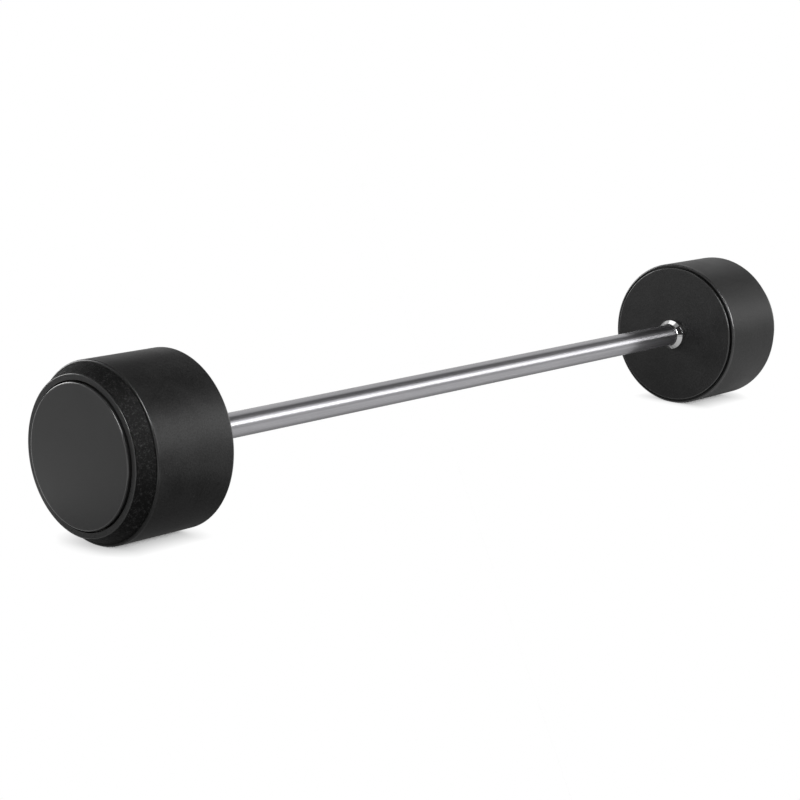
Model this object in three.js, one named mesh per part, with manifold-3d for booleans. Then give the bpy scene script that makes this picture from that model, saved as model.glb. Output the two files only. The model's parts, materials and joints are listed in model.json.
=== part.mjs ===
// A fixed barbell: two rubber-covered drum heads clamped for good on the ends of one plain round bar.
// Millimetres, +Z up. The bar lies along X and the origin is the middle of the bar, on its axis.
// Each head slides on over the bar's end as far as a pinned collar. A key stops it turning, and an
// end plate, two washers and a cap screw in the bar's tapped end clamp it. A snap-in cap covers them.
import * as THREE from "three";
import { mergeVertices } from "three/addons/utils/BufferGeometryUtils.js";
import Module from "manifold-3d";

const wasm = await Module();
wasm.setup();

// Overall sizes
const BAR_DIAMETER = 28;
const GRIP_LENGTH = 908; // bare bar between the heads' inner faces
const HEAD_DIAMETER = 190;
const HEAD_LENGTH = 123; // inner face to the flat ring round the cap

// Clearance between two pieces that seat on each other, and how far a cutter runs past a face
const FIT_GAP = 0.3;
const OVERRUN = 2;

// Facets round a turned piece, and steps in a rounded corner
const HEAD_FACETS = 36;
const BAR_FACETS = 24;
const SMALL_FACETS = 16; // screws, washers, pins and their holes
const ARC_STEPS = 2;

// Rubber jacket
const JACKET_WALL = 6;
const FACE_WALL = 8; // rubber over the inner face
const SHOULDER_LENGTH = 18.5; // the wide bevel between drum and ring, measured along the bar
const SHOULDER_DROP = 11.8; // the same bevel, measured from the drum towards the axis
const SHOULDER_STEP = 1; // the drum stands this far above the start of the bevel
const DRUM_ROUND = 2;
const RING_WIDTH = 6.2; // flat ring round the cap
const RING_STEP = 1.2; // the ring stands out this far past the end of the bevel
const RING_LEDGE = 0.8;
const RING_ROUND = 0.7;
const CAP_GROOVE = 1.8; // open groove between ring and cap
const FACE_ROUND = 1;
const FACE_GROOVE_WIDTH = 2.6; // groove round the inner face
const FACE_GROOVE_DEPTH = 5;
const RIM_WIDTH = 2.6; // the drum's edge outside that groove
const RIM_SETBACK = 3; // it stops this far short of the inner face
const RIM_ROUND = 1.8;

// Grooves turned in the core, which the rubber fills and grips
const ANCHORS = 2;
const ANCHOR_WIDTH = 8;
const ANCHOR_DEPTH = 3;

// End cap
const CAP_PROUD = 3; // how far the cap stands out past the ring
const CAP_FACE = 5; // thickness of its face
const CAP_ROUND = 1.4;
const CAP_SEAT = 10; // the cap's rim, which rests on the core round its recess
const SKIRT_WALL = 3;
const SKIRT_LENGTH = 14;
const SKIRT_SLOTS = 12; // they let the skirt spring in
const SLOT_WIDTH = 3;
const SLOT_MARGIN = 3; // skirt left whole above each slot
const BEAD_HEIGHT = 1.2; // snap bead round the skirt's end
const BEAD_RAMP = 1.5;
const RIBS = 8;
const RIB_THICKNESS = 2.4;
const RIB_DEPTH = 3;

// Collar between grip and head
const FLANGE_HEIGHT = 5; // how far the flange stands above the bar
const FLANGE_THICKNESS = 8;
const FLANGE_NOSE = 0.9; // the cone on its front starts this far above the bar
const FLANGE_BAND = 1.5; // straight edge behind the cone
const FLANGE_ROUND = 0.6;
const HUB_WALL = 2.2;
const HUB_LENGTH = 18;
const PIN_DIAMETER = 5;
const PIN_WALL = 1;
const PIN_SLIT = 1;
const PIN_SETBACK = 0.5; // each end of the pin stops this far inside the hub

// Key between bar and core
const KEY_WIDTH = 8;
const KEY_HEIGHT = 7;
const KEY_DEPTH_IN_BAR = 4;
const KEY_END_MARGIN = 6;

// End plate
const PLATE_DIAMETER = 70;
const PLATE_THICKNESS = 12;
const PLATE_CHAMFER = 1;
const PULLER_HOLES = 2; // two holes by which the plate is drawn off
const PULLER_DIAMETER = 8;
const PULLER_CIRCLE = 46;

// Cap screw and washers
const SCREW_DIAMETER = 12;
const SCREW_LENGTH = 45;
const SCREW_HEAD_DIAMETER = 18;
const SCREW_HEAD_HEIGHT = 12;
const SCREW_CHAMFER = 0.8;
const SCREW_HOLE_CLEARANCE = 0.5; // round the screw, in the plate and the washers
const SOCKET_ACROSS_FLATS = 10;
const SOCKET_DEPTH = 6;
const FLAT_WASHER_WIDTH = 5.5; // from its hole to its edge
const FLAT_WASHER_THICKNESS = 2.5;
const SPRING_WASHER_WIDTH = 3.2;
const SPRING_WASHER_THICKNESS = 3;
const SPRING_WASHER_SPLIT = 1.2;
const SPLIT_SLANT = Math.PI / 7;
const CAP_CLEARANCE = 1.5; // free room between the screw's head and the cap's ribs

// Bar ends
const BAR_SETBACK = 1.5; // the bar stops short of the plate, so that the plate clamps the core
const BAR_CHAMFER = 1.5;
const TAP_RUNOUT = 6; // tapped hole past the end of the screw
const TAP_CONE = 4;

// Radii that several pieces share
const barRadius = BAR_DIAMETER / 2;
const boreRadius = barRadius + FIT_GAP;
const hubRadius = boreRadius + HUB_WALL;
const headRadius = HEAD_DIAMETER / 2;
const ringRadius = headRadius - SHOULDER_DROP;
const mouthRadius = ringRadius - RING_WIDTH;
const capRadius = mouthRadius - CAP_GROOVE;
const skirtRadius = capRadius - CAP_SEAT;
const plateRadius = PLATE_DIAMETER / 2;
const screwRadius = SCREW_DIAMETER / 2;
const screwHoleRadius = screwRadius + SCREW_HOLE_CLEARANCE;
const pinHoleRadius = PIN_DIAMETER / 2 + FIT_GAP;

// Places along a head. Zero is its inner face, and positive is outwards.
const coreInner = FACE_WALL;
const coreOuter = HEAD_LENGTH - JACKET_WALL;
const shoulderStart = HEAD_LENGTH - SHOULDER_LENGTH;
const capFront = HEAD_LENGTH + CAP_PROUD;
const capBack = capFront - CAP_FACE;
const capSeat = coreOuter + FIT_GAP;
const skirtEnd = coreOuter - SKIRT_LENGTH;
const screwTop = capBack - RIB_DEPTH - CAP_CLEARANCE;
const screwSeat = screwTop - SCREW_HEAD_HEIGHT;
const screwTip = screwSeat - SCREW_LENGTH;
const springWasherFront = screwSeat - FIT_GAP;
const springWasherBack = springWasherFront - SPRING_WASHER_THICKNESS;
const flatWasherFront = springWasherBack - FIT_GAP;
const flatWasherBack = flatWasherFront - FLAT_WASHER_THICKNESS;
const plateFront = flatWasherBack - FIT_GAP;
const plateBack = plateFront - PLATE_THICKNESS;
const plateSeat = plateBack - FIT_GAP;
const barEnd = plateSeat - BAR_SETBACK;
const hubSeat = HUB_LENGTH + FIT_GAP;
const pinPlace = (coreInner + HUB_LENGTH) / 2;
const keyStart = hubSeat + KEY_END_MARGIN;
const keyEnd = barEnd - KEY_END_MARGIN;

// Materials
const chrome = new THREE.MeshStandardMaterial({ color: 0xc4c5c7, metalness: 1, roughness: 0.16 });
const rubber = new THREE.MeshStandardMaterial({ color: 0x2a2a2b, metalness: 0, roughness: 0.6 });
const capRubber = new THREE.MeshStandardMaterial({ color: 0x363637, metalness: 0, roughness: 0.5 });
const castIron = new THREE.MeshStandardMaterial({ color: 0x4b4946, metalness: 0.8, roughness: 0.7 });
const plainSteel = new THREE.MeshStandardMaterial({ color: 0x8d9093, metalness: 1, roughness: 0.4 });
const blackSteel = new THREE.MeshStandardMaterial({ color: 0x242528, metalness: 0.9, roughness: 0.45 });

// An outline's corners are [along, radius] or [along, radius, round]. A round makes the corner an arc.
function roundedOutline(corners) {
  const corner = (i) => {
    const [along, radius] = corners[(i + corners.length) % corners.length];
    return new THREE.Vector2(radius, along);
  };
  return corners.flatMap(([, , round], i) => {
    const here = corner(i);
    if (!round) return [here];
    const back = corner(i - 1).sub(here).normalize();
    const on = corner(i + 1).sub(here).normalize();
    const halfAngle = Math.acos(back.dot(on)) / 2;
    const reach = round / Math.tan(halfAngle);
    const centre = back.clone().add(on).setLength(round / Math.sin(halfAngle)).add(here);
    const from = here.clone().addScaledVector(back, reach).sub(centre);
    const to = here.clone().addScaledVector(on, reach).sub(centre);
    const turn = Math.atan2(from.cross(to), from.dot(to));
    return Array.from({ length: ARC_STEPS + 1 }, (_, step) =>
      from.clone().rotateAround(new THREE.Vector2(), (turn * step) / ARC_STEPS).add(centre),
    );
  });
}

// Turns an outline round the X axis, with a flat facet underneath. The outline goes from the inner end
// to the outer end over the outside. It starts and ends on the axis, or it closes on itself.
function turned(corners, facets = BAR_FACETS) {
  const points = roundedOutline(corners);
  if (points[0].x > 0) points.push(points[0].clone());
  return new THREE.LatheGeometry(points, facets, Math.PI / facets).rotateZ(-Math.PI / 2);
}

// A plain cylinder from one place to another along X, for a hole.
function rod(from, to, radius, facets = SMALL_FACETS) {
  return turned([[from, 0], [from, radius], [to, radius], [to, 0]], facets);
}

// A square-cornered ring between two places along X.
function washer(back, front, width) {
  const edge = screwHoleRadius + width;
  const section = [[back, screwHoleRadius], [back, edge], [front, edge], [front, screwHoleRadius]];
  return turned(section, SMALL_FACETS);
}

// A hole right through a piece along Y, for the collar pin.
function pinHole(throughRadius) {
  const end = throughRadius + OVERRUN;
  return rod(-end, end, pinHoleRadius).rotateZ(Math.PI / 2).translate(pinPlace, 0, 0);
}

// A block between its lowest and its highest corner.
function block(low, high) {
  const size = high.map((value, axis) => value - low[axis]);
  const middle = high.map((value, axis) => (value + low[axis]) / 2);
  return new THREE.BoxGeometry(...size).translate(...middle);
}

// A flat bar with round ends along X, standing on the plane z = base.
function roundEndedBar(from, to, width, base, height) {
  const radius = width / 2;
  const shape = new THREE.Shape();
  shape.absarc(to - radius, 0, radius, -Math.PI / 2, Math.PI / 2);
  shape.absarc(from + radius, 0, radius, Math.PI / 2, (3 * Math.PI) / 2);
  const options = { depth: height, bevelEnabled: false, curveSegments: SMALL_FACETS / 4 };
  return new THREE.ExtrudeGeometry(shape, options).translate(0, 0, base);
}

function copiesRound(count, geometry) {
  return Array.from({ length: count }, (_, i) => geometry.clone().rotateX((2 * Math.PI * i) / count));
}

// Joins and cuts
function solid(geometry) {
  const bare = geometry.clone();
  bare.deleteAttribute("normal");
  bare.deleteAttribute("uv");
  const merged = mergeVertices(bare);
  return new wasm.Manifold(
    new wasm.Mesh({
      numProp: 3,
      vertProperties: new Float32Array(merged.attributes.position.array),
      triVerts: new Uint32Array(merged.index.array),
    }),
  );
}

function combined(body, { add = [], cut = [] }) {
  let result = solid(body);
  for (const piece of add) result = result.add(solid(piece));
  for (const piece of cut) result = result.subtract(solid(piece));
  const { vertProperties, triVerts } = result.getMesh();
  const geometry = new THREE.BufferGeometry();
  geometry.setAttribute("position", new THREE.BufferAttribute(new Float32Array(vertProperties), 3));
  geometry.setIndex(new THREE.BufferAttribute(new Uint32Array(triVerts), 1));
  geometry.computeVertexNormals();
  return geometry;
}

// Bar: one straight rod. Each end has a tapped hole with a drill point, a keyway and a cross hole.
function barGeometry() {
  const headStart = GRIP_LENGTH / 2;
  const end = headStart + barEnd;
  const tapRadius = screwRadius + FIT_GAP;
  const tapFloor = headStart + screwTip - TAP_RUNOUT;
  const keyBase = barRadius - KEY_DEPTH_IN_BAR - FIT_GAP;
  const body = turned([
    [-end, 0],
    [-end, barRadius - BAR_CHAMFER],
    [-end + BAR_CHAMFER, barRadius],
    [end - BAR_CHAMFER, barRadius],
    [end, barRadius - BAR_CHAMFER],
    [end, 0],
  ]);
  const tappedHole = turned([
    [tapFloor - TAP_CONE, 0],
    [tapFloor, tapRadius],
    [end + OVERRUN, tapRadius],
    [end + OVERRUN, 0],
  ], SMALL_FACETS);
  const keyway = roundEndedBar(
    headStart + keyStart - FIT_GAP,
    headStart + keyEnd + FIT_GAP,
    KEY_WIDTH + 2 * FIT_GAP,
    keyBase,
    barRadius - keyBase + OVERRUN,
  );
  const crossHole = pinHole(barRadius).translate(headStart, 0, 0);
  const cuts = [tappedHole, keyway, crossHole];
  const cutsAtOtherEnd = cuts.map((cut) => cut.clone().rotateZ(Math.PI));
  return combined(body, { cut: [...cuts, ...cutsAtOtherEnd] });
}

// Collar: a polished flange against the head's inner face, coned towards the grip, on a hub that fills
// the core's counterbore.
function collarGeometry() {
  const flangeRadius = barRadius + FLANGE_HEIGHT;
  const flangeFront = -FIT_GAP - FLANGE_THICKNESS;
  const body = turned([
    [flangeFront, boreRadius],
    [flangeFront, barRadius + FLANGE_NOSE],
    [-FIT_GAP - FLANGE_BAND, flangeRadius, FLANGE_ROUND],
    [-FIT_GAP, flangeRadius],
    [-FIT_GAP, hubRadius],
    [HUB_LENGTH, hubRadius],
    [HUB_LENGTH, boreRadius],
  ]);
  return combined(body, { cut: [pinHole(hubRadius)] });
}

// Collar pin: a slit spring pin through the hub and the bar, which the counterbore keeps in.
function collarPinGeometry() {
  const outer = PIN_DIAMETER / 2;
  const inner = outer - PIN_WALL;
  const halfLength = hubRadius - PIN_SETBACK;
  const outerSlit = Math.asin(PIN_SLIT / 2 / outer);
  const innerSlit = Math.asin(PIN_SLIT / 2 / inner);
  const section = new THREE.Shape();
  section.absarc(0, 0, outer, outerSlit, 2 * Math.PI - outerSlit, false);
  section.absarc(0, 0, inner, 2 * Math.PI - innerSlit, innerSlit, true);
  const options = { depth: 2 * halfLength, bevelEnabled: false, curveSegments: SMALL_FACETS / 2 };
  return new THREE.ExtrudeGeometry(section, options)
    .translate(0, 0, -halfLength)
    .rotateX(Math.PI / 2)
    .translate(pinPlace, 0, 0);
}

// Drive key: one half in the bar's keyway, the other in the core's.
function driveKeyGeometry() {
  return roundEndedBar(keyStart, keyEnd, KEY_WIDTH, barRadius - KEY_DEPTH_IN_BAR, KEY_HEIGHT);
}

// The core's outside, from its inner face to its outer face, with the anchor grooves. A gap grows it
// into the inside of the jacket, whose ribs fill the grooves. The wall is even along the bevel too.
function coreSkin(gap) {
  const wall = JACKET_WALL - gap;
  const radius = headRadius - wall;
  const slope = Math.atan2(SHOULDER_DROP, SHOULDER_LENGTH);
  const bevelStart = shoulderStart - wall * Math.tan(slope / 2);
  const bevelEndRadius = ringRadius - wall * Math.tan((Math.PI / 2 - slope) / 2);
  const pitch = (shoulderStart - coreInner) / (ANCHORS + 1);
  const halfWidth = ANCHOR_WIDTH / 2 - gap;
  const anchors = Array.from({ length: ANCHORS }, (_, i) => {
    const middle = coreInner + pitch * (i + 1);
    return [
      [middle - halfWidth, radius],
      [middle - halfWidth, radius - ANCHOR_DEPTH],
      [middle + halfWidth, radius - ANCHOR_DEPTH],
      [middle + halfWidth, radius],
    ];
  });
  return [
    [coreInner - gap, radius],
    ...anchors.flat(),
    [bevelStart, radius],
    [coreOuter + gap, bevelEndRadius],
  ];
}

// Core: the weight itself. It has a keyed bore, a counterbore for the collar's hub, a seat for the end
// plate, and a wider recess for the cap's skirt, with an undercut for the snap bead.
function coreGeometry() {
  const hubBore = hubRadius + FIT_GAP;
  const plateRecess = plateRadius + FIT_GAP;
  const capRecess = skirtRadius + FIT_GAP;
  const undercut = capRecess + BEAD_HEIGHT;
  const recessFloor = skirtEnd - FIT_GAP;
  const undercutEnd = skirtEnd + 2 * BEAD_RAMP + FIT_GAP;
  const body = turned([
    ...coreSkin(0),
    [coreOuter, capRecess],
    [undercutEnd + BEAD_RAMP, capRecess],
    [undercutEnd, undercut],
    [recessFloor, undercut],
    [recessFloor, plateRecess],
    [plateSeat, plateRecess],
    [plateSeat, boreRadius],
    [hubSeat, boreRadius],
    [hubSeat, hubBore],
    [coreInner, hubBore],
  ], HEAD_FACETS);
  const halfKey = KEY_WIDTH / 2 + FIT_GAP;
  const keyTop = barRadius - KEY_DEPTH_IN_BAR + KEY_HEIGHT + FIT_GAP;
  const keyway = block([hubSeat - OVERRUN, -halfKey, 0], [plateSeat + OVERRUN, halfKey, keyTop]);
  return combined(body, { cut: [keyway] });
}

// Jacket: rubber moulded round the core. It covers the inner face, the drum and the bevel, and ends in
// a flat ring, whose mouth takes the cap with an open groove round it.
function jacketGeometry() {
  const hubHole = hubRadius + FIT_GAP;
  const rimInside = headRadius - RIM_WIDTH;
  const faceRadius = rimInside - FACE_GROOVE_WIDTH;
  const bevelEnd = HEAD_LENGTH - RING_STEP;
  return turned([
    [0, hubHole],
    [0, faceRadius, FACE_ROUND],
    [FACE_GROOVE_DEPTH, faceRadius],
    [FACE_GROOVE_DEPTH, rimInside],
    [RIM_SETBACK, rimInside],
    [RIM_SETBACK, headRadius, RIM_ROUND],
    [shoulderStart, headRadius, DRUM_ROUND],
    [shoulderStart, headRadius - SHOULDER_STEP - DRUM_ROUND],
    [bevelEnd, ringRadius + RING_LEDGE],
    [bevelEnd, ringRadius],
    [HEAD_LENGTH, ringRadius, RING_ROUND],
    [HEAD_LENGTH, mouthRadius],
    [coreOuter + FIT_GAP, mouthRadius],
    ...coreSkin(FIT_GAP).reverse(),
    [coreInner - FIT_GAP, hubHole],
  ], HEAD_FACETS);
}

// End plate: spreads the screw's force over the core.
function endPlateGeometry() {
  const body = turned([
    [plateBack, screwHoleRadius],
    [plateBack, plateRadius - PLATE_CHAMFER],
    [plateBack + PLATE_CHAMFER, plateRadius],
    [plateFront - PLATE_CHAMFER, plateRadius],
    [plateFront, plateRadius - PLATE_CHAMFER],
    [plateFront, screwHoleRadius],
  ]);
  const hole = rod(plateBack - OVERRUN, plateFront + OVERRUN, PULLER_DIAMETER / 2)
    .translate(0, PULLER_CIRCLE / 2, 0);
  return combined(body, { cut: copiesRound(PULLER_HOLES, hole) });
}

function flatWasherGeometry() {
  return washer(flatWasherBack, flatWasherFront, FLAT_WASHER_WIDTH);
}

// Spring washer: a square ring with a slanting cut through one side.
function springWasherGeometry() {
  const reach = SPRING_WASHER_THICKNESS + OVERRUN;
  const halfSplit = SPRING_WASHER_SPLIT / 2;
  const edge = screwHoleRadius + SPRING_WASHER_WIDTH + OVERRUN;
  const split = block([-reach, -halfSplit, 0], [reach, halfSplit, edge])
    .rotateZ(SPLIT_SLANT)
    .translate((springWasherBack + springWasherFront) / 2, 0, 0);
  return combined(washer(springWasherBack, springWasherFront, SPRING_WASHER_WIDTH), { cut: [split] });
}

// End screw: a cap screw with a hexagon socket.
function endScrewGeometry() {
  const screwHeadRadius = SCREW_HEAD_DIAMETER / 2;
  const body = turned([
    [screwTip, 0],
    [screwTip, screwRadius - SCREW_CHAMFER],
    [screwTip + SCREW_CHAMFER, screwRadius],
    [screwSeat, screwRadius],
    [screwSeat, screwHeadRadius],
    [screwTop - SCREW_CHAMFER, screwHeadRadius],
    [screwTop, screwHeadRadius - SCREW_CHAMFER],
    [screwTop, 0],
  ], SMALL_FACETS);
  const acrossCorners = SOCKET_ACROSS_FLATS / Math.cos(Math.PI / 6);
  const socket = rod(screwTop - SOCKET_DEPTH, screwTop + OVERRUN, acrossCorners / 2, 6);
  return combined(body, { cut: [socket] });
}

// End cap: a disc with a softened edge. Its slotted skirt snaps into the core's recess, and ribs
// across the back keep the face flat.
function endCapGeometry() {
  const skirtInside = skirtRadius - SKIRT_WALL;
  const body = turned([
    [capBack, 0],
    [capBack, skirtInside],
    [skirtEnd, skirtInside],
    [skirtEnd, skirtRadius],
    [skirtEnd + BEAD_RAMP, skirtRadius + BEAD_HEIGHT],
    [skirtEnd + 2 * BEAD_RAMP, skirtRadius + BEAD_HEIGHT],
    [skirtEnd + 3 * BEAD_RAMP, skirtRadius],
    [capSeat, skirtRadius],
    [capSeat, capRadius],
    [capFront, capRadius, CAP_ROUND],
    [capFront, 0],
  ], HEAD_FACETS);
  const halfRib = RIB_THICKNESS / 2;
  const ribEnd = skirtRadius - SKIRT_WALL / 2;
  const rib = block([capBack - RIB_DEPTH, 0, -halfRib], [capBack + CAP_FACE / 2, ribEnd, halfRib]);
  const halfSlot = SLOT_WIDTH / 2;
  const slotEdge = skirtRadius + BEAD_HEIGHT + OVERRUN;
  const slotStart = skirtInside - OVERRUN;
  const slot = block([skirtEnd - OVERRUN, slotStart, -halfSlot], [capSeat - SLOT_MARGIN, slotEdge, halfSlot]);
  return combined(body, { add: copiesRound(RIBS, rib), cut: copiesRound(SKIRT_SLOTS, slot) });
}

// One head's pieces, outwards from the grip
const headPieces = {
  inner_collar: [collarGeometry(), chrome],
  collar_pin: [collarPinGeometry(), plainSteel],
  drive_key: [driveKeyGeometry(), plainSteel],
  head_core: [coreGeometry(), castIron],
  head_jacket: [jacketGeometry(), rubber],
  end_plate: [endPlateGeometry(), plainSteel],
  flat_washer: [flatWasherGeometry(), plainSteel],
  spring_washer: [springWasherGeometry(), blackSteel],
  end_screw: [endScrewGeometry(), blackSteel],
  end_cap: [endCapGeometry(), capRubber],
};
const headTurns = { left: Math.PI, right: 0 };

const barbell = new THREE.Group();
const bar = new THREE.Mesh(barGeometry(), chrome);
bar.name = "bar";
barbell.add(bar);

for (const [side, turn] of Object.entries(headTurns)) {
  const head = new THREE.Group();
  head.position.x = (Math.cos(turn) * GRIP_LENGTH) / 2;
  head.rotation.z = turn;
  for (const [name, [geometry, material]] of Object.entries(headPieces)) {
    const piece = new THREE.Mesh(geometry, material);
    piece.name = `${side}_${name}`;
    head.add(piece);
  }
  barbell.add(head);
}

export default barbell;
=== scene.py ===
import json
import math
from functools import cached_property
import bmesh
import bpy
from mathutils import Matrix, Vector


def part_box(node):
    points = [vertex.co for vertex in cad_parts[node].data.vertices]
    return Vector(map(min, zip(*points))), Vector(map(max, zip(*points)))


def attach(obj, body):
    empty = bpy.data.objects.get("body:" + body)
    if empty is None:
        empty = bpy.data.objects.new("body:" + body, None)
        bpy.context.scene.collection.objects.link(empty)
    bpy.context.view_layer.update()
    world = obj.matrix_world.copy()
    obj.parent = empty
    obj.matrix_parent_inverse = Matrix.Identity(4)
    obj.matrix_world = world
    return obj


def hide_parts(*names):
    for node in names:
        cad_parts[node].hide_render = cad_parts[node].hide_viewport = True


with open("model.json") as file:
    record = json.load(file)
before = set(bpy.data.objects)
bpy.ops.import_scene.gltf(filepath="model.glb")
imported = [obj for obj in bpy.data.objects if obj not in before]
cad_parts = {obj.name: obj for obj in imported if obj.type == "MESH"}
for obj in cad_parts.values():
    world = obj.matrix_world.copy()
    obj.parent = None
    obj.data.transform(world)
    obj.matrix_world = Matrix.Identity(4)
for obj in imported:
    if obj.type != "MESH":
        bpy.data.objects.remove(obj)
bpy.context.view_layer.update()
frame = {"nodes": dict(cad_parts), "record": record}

# A fixed barbell. Metres, +Z up, the bar along X and the origin in its middle. Each head's own sizes
# run outwards from its inner face, and its outlines are corners of (along, radius) or
# (along, radius, round), where a round makes the corner an arc.
MM = 0.001
FIT_GAP = 0.3 * MM

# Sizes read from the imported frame
GRIP_END, JACKET_END = (corner.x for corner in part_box("right_head_jacket"))
HEAD_LENGTH = JACKET_END - GRIP_END
SKIRT_END, CAP_FRONT = (corner.x - GRIP_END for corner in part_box("right_end_cap"))
CORE_INNER, CORE_OUTER = (corner.x - GRIP_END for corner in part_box("right_head_core"))
HUB_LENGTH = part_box("right_inner_collar")[1].x - GRIP_END
BAR_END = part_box("bar")[1].x
SCREW_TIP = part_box("right_end_screw")[0].x

# Radii
BAR_RADIUS = 14 * MM
HEAD_RADIUS = 95 * MM
RING_RADIUS = 83.2 * MM
MOUTH_RADIUS = 77 * MM
CAP_RADIUS = 75.2 * MM
SKIRT_RADIUS = 65.2 * MM
FLANGE_RADIUS = 19.5 * MM
HUB_RADIUS = 16.5 * MM
BORE_RADIUS = BAR_RADIUS + FIT_GAP
TAP_RADIUS = 6.3 * MM

# Outside of the jacket, from the inner face's rim to the ring round the cap
RIM_WIDTH = 2.6 * MM
RIM_SETBACK = 3 * MM
RIM_ROUND = 1.8 * MM
RIM_INSIDE = HEAD_RADIUS - RIM_WIDTH
FACE_GROOVE_WIDTH = 2.6 * MM
FACE_GROOVE_DEPTH = 5 * MM
FACE_RADIUS = RIM_INSIDE - FACE_GROOVE_WIDTH
FACE_ROUND = 1 * MM
SHOULDER_START = HEAD_LENGTH - 18.5 * MM
SHOULDER_STEP = 1 * MM
DRUM_ROUND = 2 * MM
RING_STEP = 1.2 * MM
RING_LEDGE = 0.8 * MM
RING_ROUND = 0.7 * MM

# Inside of the jacket, where its skin lies on the core and fills the anchor grooves
SKIN_RADIUS = 89.3 * MM
SKIN_BEVEL_RADIUS = 80.1 * MM
SKIN_BEVEL_START = SHOULDER_START - 1.6 * MM
ANCHOR_COUNT = 2
ANCHOR_PITCH = (SHOULDER_START - CORE_INNER) / (ANCHOR_COUNT + 1)
ANCHOR_HALF_WIDTH = 3.7 * MM
ANCHOR_DEPTH = 3 * MM
LINING_HOLE = HUB_RADIUS + FIT_GAP

# Cap, with a skirt that snaps into the core
CAP_FACE = 5 * MM
CAP_ROUND = 1.4 * MM
SKIRT_WALL = 3 * MM
BEAD_HEIGHT = 1.2 * MM
BEAD_RAMP = 1.5 * MM

# Collar, which stands out from the inner face, and bar ends
FLANGE_FRONT = -12.5 * MM
FLANGE_NOSE = 0.4 * MM
FLANGE_NECK = 1.3 * MM
FLANGE_FILLET = 3 * MM
FLANGE_ROUND = 0.6 * MM
BAR_CHAMFER = 1.5 * MM
TAP_RUNOUT = 6 * MM
TAP_CONE = 4 * MM

# Meshes
HEAD_STEPS = 192
BAR_STEPS = 128
ARC_STEPS = 8
SHARP_ANGLE = math.radians(32)
MERGE_DISTANCE = 0.001 * MM
TEXTURE_SPACE = 10000

# Finishes. Noise mostly stays in this range, and a mask ends at this multiple of its reach
NOISE_RANGE = (0.3, 0.7)
MASK_END = 1.3
BEVEL_FADE = 0.2 * MM
EDGE_SHINE = {"Coat_Roughness": 0.16, "Coat_IOR": 1.7}


def turned(corners, steps):
    """A mesh spun about the X axis from an outline that ends on the axis or closes on itself."""
    mesh = bmesh.new()
    places = [Vector((along, 0, radius)) for along, radius, *_ in corners]
    dots = [mesh.verts.new(place) for place in places]
    closed = corners[0][1] > 0
    for here, there in zip(dots, dots[1:] + dots[:1] if closed else dots[1:]):
        mesh.edges.new((here, there))
    for index, corner in enumerate(corners):
        if len(corner) == 3:
            behind = places[index - 1] - places[index]
            ahead = places[(index + 1) % len(places)] - places[index]
            reach = corner[2] / math.tan(behind.angle(ahead) / 2)
            round_corner(mesh, dots[index], reach)
    outline = mesh.verts[:] + mesh.edges[:]
    bmesh.ops.spin(mesh, geom=outline, axis=(1, 0, 0), angle=math.tau, steps=steps, use_merge=True)
    bmesh.ops.remove_doubles(mesh, verts=mesh.verts, dist=MERGE_DISTANCE)
    bmesh.ops.recalc_face_normals(mesh, faces=mesh.faces)
    return mesh


def round_corner(mesh, dot, reach):
    """Turns one corner of a wire outline into an arc, which starts the given distance before it."""
    bmesh.ops.bevel(
        mesh,
        geom=[dot],
        offset=reach,
        offset_type="OFFSET",
        segments=ARC_STEPS,
        profile=0.5,
        affect="VERTICES",
        material=-1,
    )


def piece(name, mesh, slot, node):
    """A finished piece that stands for a CAD node and rides with its body."""
    for face in mesh.faces:
        face.smooth = True
    for edge in mesh.edges:
        edge.smooth = edge.calc_face_angle(0) < SHARP_ANGLE
    data = bpy.data.meshes.new(name)
    mesh.to_mesh(data)
    mesh.free()
    data.materials.append(FINISHES[slot])
    # A texture space this long makes every tangent run along the bar
    data.use_auto_texspace = False
    data.texspace_size = (TEXTURE_SPACE, HEAD_RADIUS, HEAD_RADIUS)
    made = bpy.data.objects.new(name, data)
    bpy.context.scene.collection.objects.link(made)
    # Large faces keep their own shading beside small rounded edges
    made.modifiers.new("even_shading", "WEIGHTED_NORMAL").keep_sharp = True
    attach(made, "root")
    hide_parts(node)


class Wire:
    """One output of a material's node. Arithmetic on it adds Math nodes."""

    def __init__(self, finish, socket):
        self.finish = finish
        self.socket = socket

    def maths(self, operation, *others):
        inputs = dict(enumerate((self, *others)))
        return self.finish.node("ShaderNodeMath", {"operation": operation}, inputs)

    def __add__(self, other):
        return self.maths("ADD", other)

    def __sub__(self, other):
        return self.maths("SUBTRACT", other)

    def __mul__(self, other):
        return self.maths("MULTIPLY", other)

    def mixed(self, other, share):
        """The mean of two values, in which the other one has the given share."""
        return self * (1 - share) + other * share

    def ramp(self, start, end, low=0.0, high=1.0):
        """Runs smoothly from low to high while this value runs from start to end."""
        places = {"From Min": start, "From Max": end, "To Min": low, "To Max": high}
        settings = {"interpolation_type": "SMOOTHSTEP"}
        return self.finish.node("ShaderNodeMapRange", settings, {"Value": self, **places})

    def spread(self, low=0.0, high=1.0):
        """Spreads a noise over the range from low to high."""
        return self.ramp(*NOISE_RANGE, low, high)

    def near(self, place, reach):
        """1 where this value is within reach of a place, falling to 0 just past it."""
        return (self - place).maths("ABSOLUTE").ramp(MASK_END * reach, reach)


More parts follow.
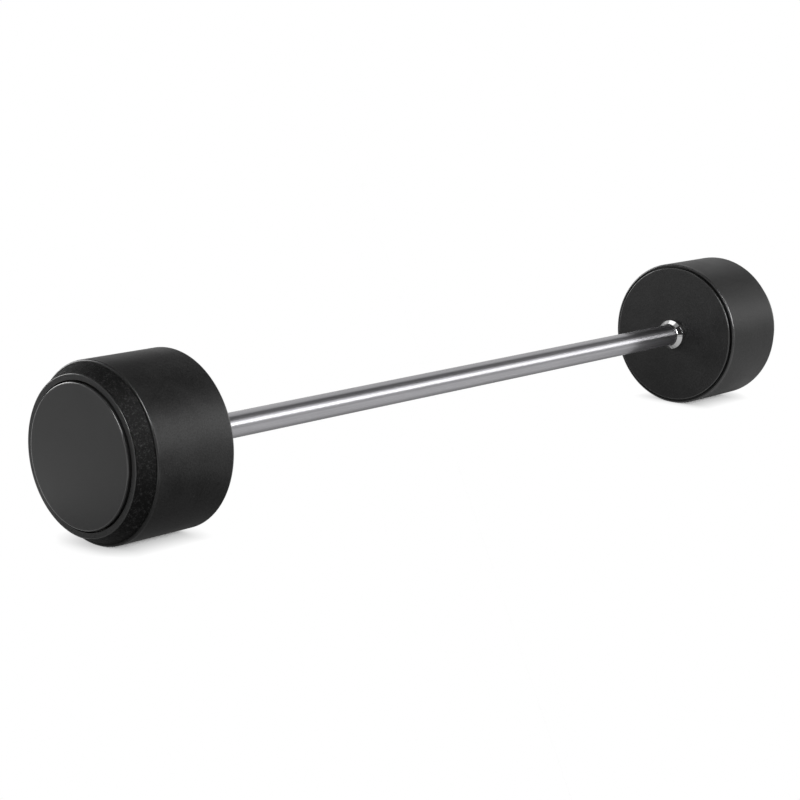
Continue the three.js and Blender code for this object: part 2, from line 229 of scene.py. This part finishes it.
class Finish:
    """A procedural material on one Principled shader, or on a mix of two.

    What doesn't vary is set on the shader itself, and what varies over the surface is linked."""

    def __init__(self, name, **constants):
        self.material = bpy.data.materials.new(name)
        self.material.use_nodes = True
        self.tree = self.material.node_tree
        self.shader = self.tree.nodes["Principled BSDF"]
        self.fix(self.shader, constants)
        self.place = self.node("ShaderNodeTexCoord", output="Object")
        parts = self.node_of("ShaderNodeSeparateXYZ", {}, {"Vector": self.place})
        self.x, self.y, self.z = (Wire(self, parts.outputs[axis]) for axis in "XYZ")

    def node_of(self, kind, settings, inputs):
        made = self.tree.nodes.new(kind)
        for name, value in settings.items():
            setattr(made, name, value)
        for name, value in inputs.items():
            if isinstance(value, Wire):
                self.tree.links.new(value.socket, made.inputs[name])
            else:
                made.inputs[name].default_value = value
        return made

    def node(self, kind, settings=None, inputs=None, output=0):
        return Wire(self, self.node_of(kind, settings or {}, inputs or {}).outputs[output])

    def fix(self, shader, constants):
        for key, value in constants.items():
            shader.inputs[key.replace("_", " ")].default_value = value

    def feed(self, shader=None, **wires):
        """Links what varies over the surface into the first shader, or into another."""
        for key, wire in wires.items():
            self.tree.links.new(wire.socket, (shader or self.shader).inputs[key.replace("_", " ")])

    def second_shader(self, share, **constants):
        """Another Principled shader, mixed in with a fixed share or where a mask is 1."""
        shader = self.node_of("ShaderNodeBsdfPrincipled", {}, {})
        self.fix(shader, constants)
        both = self.node_of("ShaderNodeMixShader", {}, {0: share})
        self.tree.links.new(self.shader.outputs[0], both.inputs[1])
        self.tree.links.new(shader.outputs[0], both.inputs[2])
        self.tree.links.new(both.outputs[0], self.tree.nodes["Material Output"].inputs["Surface"])
        return shader

    @cached_property
    def radius(self):
        """Distance from the bar's axis."""
        return (self.y * self.y + self.z * self.z).maths("SQRT")

    @cached_property
    def along(self):
        """Distance outwards from the inner face, on either head."""
        return self.x.maths("ABSOLUTE") - GRIP_END

    def near_edge(self, along, radius, reach):
        """1 on a rounded edge of a head's outline, falling to 0 just past it."""
        return self.along.near(along, reach) * self.radius.near(radius, reach)

    def noise(self, grain, stretch=(1, 1, 1), detail=2.0, roughness=0.5, vector=None):
        """Noise from 0 to 1 with features of about the given size, longer along a stretched axis."""
        scale = tuple(1 / (grain * factor) for factor in stretch)
        inputs = {0: vector or self.place, 1: scale}
        scaled = self.node("ShaderNodeVectorMath", {"operation": "MULTIPLY"}, inputs)
        inputs = {"Vector": scaled, "Scale": 1.0, "Detail": detail, "Roughness": roughness}
        return self.node("ShaderNodeTexNoise", {}, inputs)

    def turning_marks(self, pitch):
        """Fine rings that a lathe leaves: the same all the way round the axis."""
        rings = self.node("ShaderNodeCombineXYZ", {}, {"X": self.x, "Y": self.radius})
        return self.noise(pitch, detail=3.0, vector=rings)

    def blend(self, factor, first, second):
        inputs = {"Factor": factor, 6: first, 7: second}
        return self.node("ShaderNodeMix", {"data_type": "RGBA"}, inputs, output=2)

    def bump(self, height, depth):
        """A Normal from a height of 0 to 1, which stands for the given real depth."""
        return self.node("ShaderNodeBump", {}, {"Height": height, "Distance": depth}, output="Normal")


def grey(value, warmth=0.0):
    """A colour with the given green, and with red above and blue below it by the warmth's share."""
    return (value * (1 + warmth), value, value * (1 - warmth), 1)


def bar_chrome():
    """Ground all round and plated, with faint streaks along it: a crisp reflection, under a share of
    one that spreads lengthwise."""
    darker = (0.58, 0.575, 0.6, 1)
    lighter = (0.645, 0.64, 0.665, 1)
    spread_share = 0.26
    finish = Finish("bar_chrome", Metallic=1.0)
    spread = finish.second_shader(spread_share, Metallic=1.0, Anisotropic=1.0)
    marks = finish.turning_marks(0.4 * MM)
    cloud = finish.noise(30 * MM, stretch=(4, 1, 1))
    streaks = finish.noise(1.6 * MM, stretch=(80, 1, 1))
    tone = finish.blend(cloud.mixed(streaks, 0.6).ramp(0.35, 0.65), darker, lighter)
    finish.feed(Base_Color=tone, Roughness=cloud.spread(0.15, 0.18))
    finish.feed(spread, Base_Color=tone, Roughness=marks.spread(0.28, 0.34))
    return finish.material


def collar_chrome():
    """Bright plating over fine turning marks."""
    finish = Finish("collar_chrome", Metallic=1.0)
    marks = finish.turning_marks(0.3 * MM)
    cloud = finish.noise(6 * MM)
    finish.feed(
        Base_Color=finish.blend(cloud.spread(), grey(0.76), grey(0.8)),
        Roughness=marks.spread(0.09, 0.15),
        Normal=finish.bump(marks, 0.002 * MM),
    )
    return finish.material


def bevel_mask(finish):
    """1 on the jacket's bevel, between the drum's shoulder and the ring's ledge."""
    past_shoulder = finish.along.ramp(SHOULDER_START - BEVEL_FADE, SHOULDER_START + BEVEL_FADE)
    below_drum = finish.radius.ramp(HEAD_RADIUS - 0.5 * SHOULDER_STEP, HEAD_RADIUS - 1.5 * SHOULDER_STEP)
    round_ring = finish.radius.ramp(RING_RADIUS, RING_RADIUS + RING_LEDGE)
    return past_shoulder * below_drum * round_ring


def jacket_rubber():
    """Fine grained rubber, shinier on its rounded edges, with a coarse and mottled bevel."""
    finish = Finish("jacket_rubber", Metallic=0.0, Specular_IOR_Level=0.45, **EDGE_SHINE)
    coarse = finish.noise(4 * MM, detail=3.0, roughness=0.6)
    specks = finish.noise(1.6 * MM, detail=3.0, roughness=0.7)
    cloud = finish.noise(35 * MM, detail=3.0)
    shine = (
        finish.near_edge(SHOULDER_START, HEAD_RADIUS, DRUM_ROUND) * 0.6
        + finish.near_edge(RIM_SETBACK, HEAD_RADIUS, RIM_ROUND)
        + finish.near_edge(0, FACE_RADIUS, FACE_ROUND)
        + finish.near_edge(HEAD_LENGTH, RING_RADIUS, RING_ROUND)
    )
    on_face = finish.along.ramp(FACE_ROUND, 0)
    finish.feed(
        Base_Color=finish.blend(cloud.mixed(specks, 0.7).ramp(0.4, 0.6), grey(0.002), grey(0.013)),
        Roughness=cloud.spread(0.36, 0.42) + on_face * 0.08,
        Coat_Weight=shine,
        Normal=finish.bump(specks + coarse, 0.15 * MM),
    )
    bevel = finish.second_shader(bevel_mask(finish), Specular_IOR_Level=0.2)
    finish.feed(
        bevel,
        Base_Color=finish.blend(specks.mixed(coarse, 0.4).ramp(0.5, 0.64), grey(0.0015), grey(0.03)),
        Roughness=specks.spread(0.6, 0.4),
        Normal=finish.bump(specks, 0.5 * MM),
    )
    return finish.material


def cap_rubber():
    """Smooth and satin, shinier on its rounded edge."""
    finish = Finish("cap_rubber", Metallic=0.0, Specular_IOR_Level=0.5, **EDGE_SHINE)
    grain = finish.noise(0.5 * MM)
    cloud = finish.noise(28 * MM, detail=3.0)
    finish.feed(
        Base_Color=finish.blend(cloud.spread(), grey(0.013), grey(0.016)),
        Roughness=cloud.spread(0.4, 0.46),
        Coat_Weight=finish.near_edge(CAP_FRONT, CAP_RADIUS, CAP_ROUND),
        Normal=finish.bump(grain, 0.03 * MM),
    )
    return finish.material


def cast_iron():
    """As cast, with the sand's grain."""
    finish = Finish("cast_iron", Metallic=0.75)
    sand = finish.noise(1.2 * MM, detail=5.0, roughness=0.7)
    cloud = finish.noise(18 * MM, detail=4.0, roughness=0.6)
    finish.feed(
        Base_Color=finish.blend(cloud.ramp(0.35, 0.65), grey(0.06, 0.06), grey(0.1, 0.02)),
        Roughness=sand.spread(0.55, 0.8),
        Normal=finish.bump(sand, 0.35 * MM),
    )
    return finish.material


def plain_steel():
    """Machined, with turning marks."""
    finish = Finish("plain_steel", Metallic=1.0)
    marks = finish.turning_marks(0.35 * MM)
    cloud = finish.noise(9 * MM, detail=3.0)
    finish.feed(
        Base_Color=finish.blend(cloud.ramp(0.35, 0.65), grey(0.24, -0.02), grey(0.31, -0.02)),
        Roughness=marks.spread(0.28, 0.42),
        Normal=finish.bump(marks, 0.012 * MM),
    )
    return finish.material


def black_steel():
    """Black oxide, a little bluish."""
    finish = Finish("black_steel", Metallic=0.9)
    grain = finish.noise(0.4 * MM, detail=3.0)
    cloud = finish.noise(5 * MM, detail=3.0)
    finish.feed(
        Base_Color=finish.blend(cloud.ramp(0.35, 0.65), grey(0.015, -0.08), grey(0.028, -0.04)),
        Roughness=grain.spread(0.38, 0.5),
        Normal=finish.bump(grain, 0.01 * MM),
    )
    return finish.material


# One material for each slot of the record, under the slot's name
FINISHES = {
    make.__name__: make()
    for make in (bar_chrome, collar_chrome, jacket_rubber, cap_rubber, cast_iron, plain_steel, black_steel)
}


def bar_outline():
    """A chamfered bar with a tapped hole in each end."""
    tap_floor = SCREW_TIP - TAP_RUNOUT
    half = [
        (BAR_END - BAR_CHAMFER, BAR_RADIUS),
        (BAR_END, BAR_RADIUS - BAR_CHAMFER),
        (BAR_END, TAP_RADIUS),
        (tap_floor, TAP_RADIUS),
        (tap_floor - TAP_CONE, 0),
    ]
    return [(-along, radius) for along, radius in reversed(half)] + half


def collar_outline():
    """A short neck runs through a fillet into a flare at 45 degrees, and a hub goes into the head."""
    neck_radius = BAR_RADIUS + FLANGE_NOSE
    flare_start = FLANGE_FRONT + FLANGE_NECK
    flare_end = flare_start + FLANGE_RADIUS - neck_radius
    return [
        (FLANGE_FRONT, BORE_RADIUS),
        (FLANGE_FRONT, neck_radius),
        (flare_start, neck_radius, FLANGE_FILLET),
        (flare_end, FLANGE_RADIUS, FLANGE_ROUND),
        (-FIT_GAP, FLANGE_RADIUS),
        (-FIT_GAP, HUB_RADIUS),
        (HUB_LENGTH, HUB_RADIUS),
        (HUB_LENGTH, BORE_RADIUS),
    ]


def jacket_outline():
    """The rubber from the inner face over the drum and bevel to the mouth, and back along the core."""
    bevel_end = HEAD_LENGTH - RING_STEP
    ribs = []
    for number in range(ANCHOR_COUNT, 0, -1):
        middle = CORE_INNER + number * ANCHOR_PITCH
        ribs += [
            (middle + ANCHOR_HALF_WIDTH, SKIN_RADIUS),
            (middle + ANCHOR_HALF_WIDTH, SKIN_RADIUS - ANCHOR_DEPTH),
            (middle - ANCHOR_HALF_WIDTH, SKIN_RADIUS - ANCHOR_DEPTH),
            (middle - ANCHOR_HALF_WIDTH, SKIN_RADIUS),
        ]
    return [
        (0, LINING_HOLE),
        (0, FACE_RADIUS, FACE_ROUND),
        (FACE_GROOVE_DEPTH, FACE_RADIUS),
        (FACE_GROOVE_DEPTH, RIM_INSIDE),
        (RIM_SETBACK, RIM_INSIDE),
        (RIM_SETBACK, HEAD_RADIUS, RIM_ROUND),
        (SHOULDER_START, HEAD_RADIUS, DRUM_ROUND),
        (SHOULDER_START, HEAD_RADIUS - SHOULDER_STEP - DRUM_ROUND),
        (bevel_end, RING_RADIUS + RING_LEDGE),
        (bevel_end, RING_RADIUS),
        (HEAD_LENGTH, RING_RADIUS, RING_ROUND),
        (HEAD_LENGTH, MOUTH_RADIUS),
        (CORE_OUTER + FIT_GAP, MOUTH_RADIUS),
        (CORE_OUTER + FIT_GAP, SKIN_BEVEL_RADIUS),
        (SKIN_BEVEL_START, SKIN_RADIUS),
        *ribs,
        (CORE_INNER - FIT_GAP, SKIN_RADIUS),
        (CORE_INNER - FIT_GAP, LINING_HOLE),
    ]


def cap_outline():
    """A disc with a skirt, whose bead snaps in."""
    skirt_inside = SKIRT_RADIUS - SKIRT_WALL
    bead_radius = SKIRT_RADIUS + BEAD_HEIGHT
    return [
        (CAP_FRONT - CAP_FACE, 0),
        (CAP_FRONT - CAP_FACE, skirt_inside),
        (SKIRT_END, skirt_inside),
        (SKIRT_END, SKIRT_RADIUS),
        (SKIRT_END + BEAD_RAMP, bead_radius),
        (SKIRT_END + 2 * BEAD_RAMP, bead_radius),
        (SKIRT_END + 3 * BEAD_RAMP, SKIRT_RADIUS),
        (CORE_OUTER + FIT_GAP, SKIRT_RADIUS),
        (CORE_OUTER + FIT_GAP, CAP_RADIUS),
        (CAP_FRONT, CAP_RADIUS, CAP_ROUND),
        (CAP_FRONT, 0),
    ]


# name: (outline, steps round the axis, slot)
HEAD_PIECES = {
    "inner_collar": (collar_outline, BAR_STEPS, "collar_chrome"),
    "head_jacket": (jacket_outline, HEAD_STEPS, "jacket_rubber"),
    "end_cap": (cap_outline, HEAD_STEPS, "cap_rubber"),
}

piece("polished_bar", turned(bar_outline(), BAR_STEPS), "bar_chrome", "bar")
for side, turn in {"left": math.pi, "right": 0}.items():
    place = Matrix.Rotation(turn, 4, "Z") @ Matrix.Translation((GRIP_END, 0, 0))
    for name, (outline, steps, slot) in HEAD_PIECES.items():
        mesh = turned(outline(), steps)
        bmesh.ops.transform(mesh, matrix=place, verts=mesh.verts)
        node = f"{side}_{name}"
        piece(f"{node}_finished", mesh, slot, node)

# The remaining CAD nodes keep their shape and get the finish of their slot
for row in frame["record"]["subparts"]:
    slots = frame["nodes"][row["node"]].material_slots
    for slot in slots:
        slot.material = FINISHES[row["material_slot"]]

# Camera
CAMERA_PLACE = Vector((-1.84395, -1.54328, 0.49119))
CAMERA_YAW = math.radians(41.536)
CAMERA_PITCH = math.radians(12.184)
CAMERA_ROLL = math.radians(1.42)
CAMERA_LENS = 92.25

# Floor and sky. The camera sees the floor white, with a contact shadow of this reach and power, and
# reflections see this share of that white
FLOOR_REACH = 30
FLOOR_WHITE = 0.58
CONTACT_REACH = 18 * MM
CONTACT_POWER = 0.25
GLOSSY_SHARE = 0.15
SKY_LEVEL = 0.85

# Key light, which stands for the key softbox on matt surfaces
KEY_DIRECTION = Vector((0.750, -0.566, 0.342))
KEY_SIZE = math.radians(22)
KEY_POWER = 0.3

# Cards and softboxes, which only show in reflections. They curve round the bar's line: their angles
# run from the horizon in front over the top to the horizon behind, and their sides run along X. Where
# an angle would take one under the floor, it lies flat just above it. One with a smaller radius hides
# the ones behind it.
STUDIO_RADIUS = 6
FAR = 30
FRONT_SIDE = 1.6
BACK_SIDE = 3
CARD_STEPS = 16
CARD_CLEARANCE = 0.5 * MM

# name: (radius, first angle, last angle, left side, right side, brightness)
CARDS = {
    # Close to the left head
    "front_flag": (0.42, -13, 62, -0.68, -0.3, 0.06),
    "left_flag": (0.3, 58, 135, -0.64, -0.22, 0.12),
    # On the floor, or just above it
    "floor_band": (0.9, -63, -6, -0.1, 1.15, 0.35),
    # Painted shade: a dim sheet that stands for the floor in the left head's own shade, as its drum
    # reflects it
    "floor_flag": (0.3, -90, -19, -0.75, -0.36, 0.16),
    "floor_back": (0.6, 189.5, 263, 0.15, 0.45, 0.25),
    "floor_fill": (1.4, 184, 265, -0.75, 0.12, 1.05),
    # Painted shadow: dim sheets that stand for the floor under the bar, darkest just behind it, as the bar
    # reflects it
    "under_edge": (0.1, -80, -68, -0.4, 0.45, 0.44),
    "under_bar": (0.1, -96, -80, -0.4, 0.45, 0.35),
    "under_back": (0.1, -130, -96, -0.4, 0.45, 0.25),
    # The room in front, overhead and behind
    "front_dark": (STUDIO_RADIUS, -1, 62, -FAR, FRONT_SIDE, 0.1),
    "front_grey": (STUDIO_RADIUS, -1, 7, FRONT_SIDE, FAR, 0.4),
    "key_low": (STUDIO_RADIUS, 7, 14, FRONT_SIDE, FAR, 0.8),
    "key_softbox": (STUDIO_RADIUS, 14, 33, FRONT_SIDE, FAR, 1.3),
    "key_high": (STUDIO_RADIUS, 33, 42, FRONT_SIDE, FAR, 1.15),
    "key_edge": (STUDIO_RADIUS, 42, 54, FRONT_SIDE, FAR, 0.6),
    "key_core": (5.7, 13, 34, 0.6, 2.4, 17.5),
    "overhead_left": (STUDIO_RADIUS, 54, 97, -FAR, FRONT_SIDE, 0.06),
    "overhead_dark": (STUDIO_RADIUS, 54, 97, FRONT_SIDE, FAR, 0.13),
    "overhead_right": (5.88, 50, 92, 9.3, FAR, 0.8),
    "overhead_edge": (STUDIO_RADIUS, 97, 108, BACK_SIDE, FAR, 0.4),
    "back_grey": (STUDIO_RADIUS, 108, 181, BACK_SIDE, FAR, 0.54),
    "back_dark": (STUDIO_RADIUS, 97, 181, -FAR, BACK_SIDE, 0.06),
    "back_low": (5.4, 150, 176, -4.5, 0, 4),
    # Small ones for the left head's outer edges and the right collar
    "left_key": (1.2, 38, 70, -1.67, -1.02, 9),
    "collar_dark": (5.7, -1, 62, -4.8, -2.4, 0.02),
    "collar_key": (5.4, 12, 50, -1.1, 0.4, 5),
    "collar_front": (5.1, 66, 92, -3, -1.5, 0.3),
    "collar_over": (5.1, 92, 132, -2.1, 0, 1.35),
    "collar_back": (1, 132, 158, 0.36, 0.72, 0.6),
}


def make_camera():
    """Looks from the front left and slightly above."""
    camera = bpy.data.objects.new("camera", bpy.data.cameras.new("camera"))
    camera.data.lens = CAMERA_LENS
    yaw = Matrix.Rotation(CAMERA_YAW - math.pi / 2, 4, "Z")
    pitch = Matrix.Rotation(math.pi / 2 - CAMERA_PITCH, 4, "X")
    roll = Matrix.Rotation(CAMERA_ROLL, 4, "Z")
    camera.matrix_world = Matrix.Translation(CAMERA_PLACE) @ yaw @ pitch @ roll
    bpy.context.scene.collection.objects.link(camera)
    bpy.context.scene.camera = camera
    bpy.context.scene.view_settings.view_transform = "Standard"


def stage_material(name):
    """A material with no nodes yet."""
    material = bpy.data.materials.new(name)
    material.use_nodes = True
    material.node_tree.nodes.clear()
    return material


def stage_piece(name, mesh, material):
    """An object of the studio, which isn't part of the barbell."""
    data = bpy.data.meshes.new(name)
    mesh.to_mesh(data)
    mesh.free()
    data.materials.append(material)
    made = bpy.data.objects.new(name, data)
    bpy.context.scene.collection.objects.link(made)
    return made


def stage_maths(tree, operation, first, second):
    """One Math node in a studio material. Either value is a number or an output."""
    made = tree.nodes.new("ShaderNodeMath")
    made.operation = operation
    for place, value in enumerate((first, second)):
        if isinstance(value, (int, float)):
            made.inputs[place].default_value = value
        else:
            tree.links.new(value, made.inputs[place])
    return made.outputs[0]


def background_rays(tree, glossy_share):
    """1 for camera and transmission rays, which see a white background, and a share for glossy rays."""
    paths = tree.nodes.new("ShaderNodeLightPath").outputs
    glossy = stage_maths(tree, "MULTIPLY", paths["Is Glossy Ray"], glossy_share)
    clear = stage_maths(tree, "MAXIMUM", paths["Is Camera Ray"], paths["Is Transmission Ray"])
    return stage_maths(tree, "MAXIMUM", clear, glossy)


def make_floor():
    """A matt floor. The camera sees it white, with the object's shadow close to where they touch."""
    mesh = bmesh.new()
    bmesh.ops.create_grid(mesh, x_segments=1, y_segments=1, size=FLOOR_REACH)
    bmesh.ops.translate(mesh, verts=mesh.verts, vec=(0, 0, -HEAD_RADIUS))
    material = stage_material("floor_white")
    tree = material.node_tree
    matt = tree.nodes.new("ShaderNodeBsdfDiffuse")
    matt.inputs["Color"].default_value = grey(FLOOR_WHITE)
    contact = tree.nodes.new("ShaderNodeAmbientOcclusion")
    contact.inputs["Distance"].default_value = CONTACT_REACH
    white = tree.nodes.new("ShaderNodeEmission")
    shade = stage_maths(tree, "POWER", contact.outputs["AO"], CONTACT_POWER)
    tree.links.new(shade, white.inputs["Strength"])
    both = tree.nodes.new("ShaderNodeMixShader")
    tree.links.new(background_rays(tree, GLOSSY_SHARE), both.inputs[0])
    tree.links.new(matt.outputs[0], both.inputs[1])
    tree.links.new(white.outputs[0], both.inputs[2])
    output = tree.nodes.new("ShaderNodeOutputMaterial")
    tree.links.new(both.outputs[0], output.inputs["Surface"])
    stage_piece("floor", mesh, material)


def make_card(name, radius, first, last, left, right, level):
    """A curved card or softbox, which only shows in reflections."""
    mesh = bmesh.new()
    rows = []
    for step in range(CARD_STEPS + 1):
        angle = math.radians(first + (last - first) * step / CARD_STEPS)
        height = max(radius * math.sin(angle), CARD_CLEARANCE - HEAD_RADIUS)
        rows.append([mesh.verts.new((side, -radius * math.cos(angle), height)) for side in (left, right)])
    for low, high in zip(rows, rows[1:]):
        mesh.faces.new((*low, *reversed(high)))
    material = stage_material(name)
    tree = material.node_tree
    glow = tree.nodes.new("ShaderNodeEmission")
    glow.inputs["Strength"].default_value = level
    output = tree.nodes.new("ShaderNodeOutputMaterial")
    tree.links.new(glow.outputs[0], output.inputs["Surface"])
    card = stage_piece(name, mesh, material)
    card.visible_camera = False
    card.visible_diffuse = False
    card.visible_transmission = False
    card.visible_shadow = False


def make_world():
    """A plain sky, which the camera sees white."""
    world = bpy.data.worlds.new("studio")
    bpy.context.scene.world = world
    world.use_nodes = True
    tree = world.node_tree
    level = tree.nodes.new("ShaderNodeMix")
    tree.links.new(background_rays(tree, 1), level.inputs["Factor"])
    level.inputs["A"].default_value = SKY_LEVEL
    level.inputs["B"].default_value = 1
    tree.links.new(level.outputs["Result"], tree.nodes["Background"].inputs["Strength"])
    tree.nodes["Background"].inputs["Color"].default_value = grey(1)


def make_key_light():
    """Gives the key softbox its share of the matt light."""
    lamp = bpy.data.lights.new("key_light", "SUN")
    lamp.energy = KEY_POWER
    lamp.angle = KEY_SIZE
    key = bpy.data.objects.new("key_light", lamp)
    key.rotation_mode = "QUATERNION"
    key.rotation_quaternion = KEY_DIRECTION.to_track_quat("Z", "Y")
    key.visible_glossy = False
    bpy.context.scene.collection.objects.link(key)


make_camera()
make_floor()
for card_name, card_values in CARDS.items():
    make_card(card_name, *card_values)
make_world()
make_key_light()
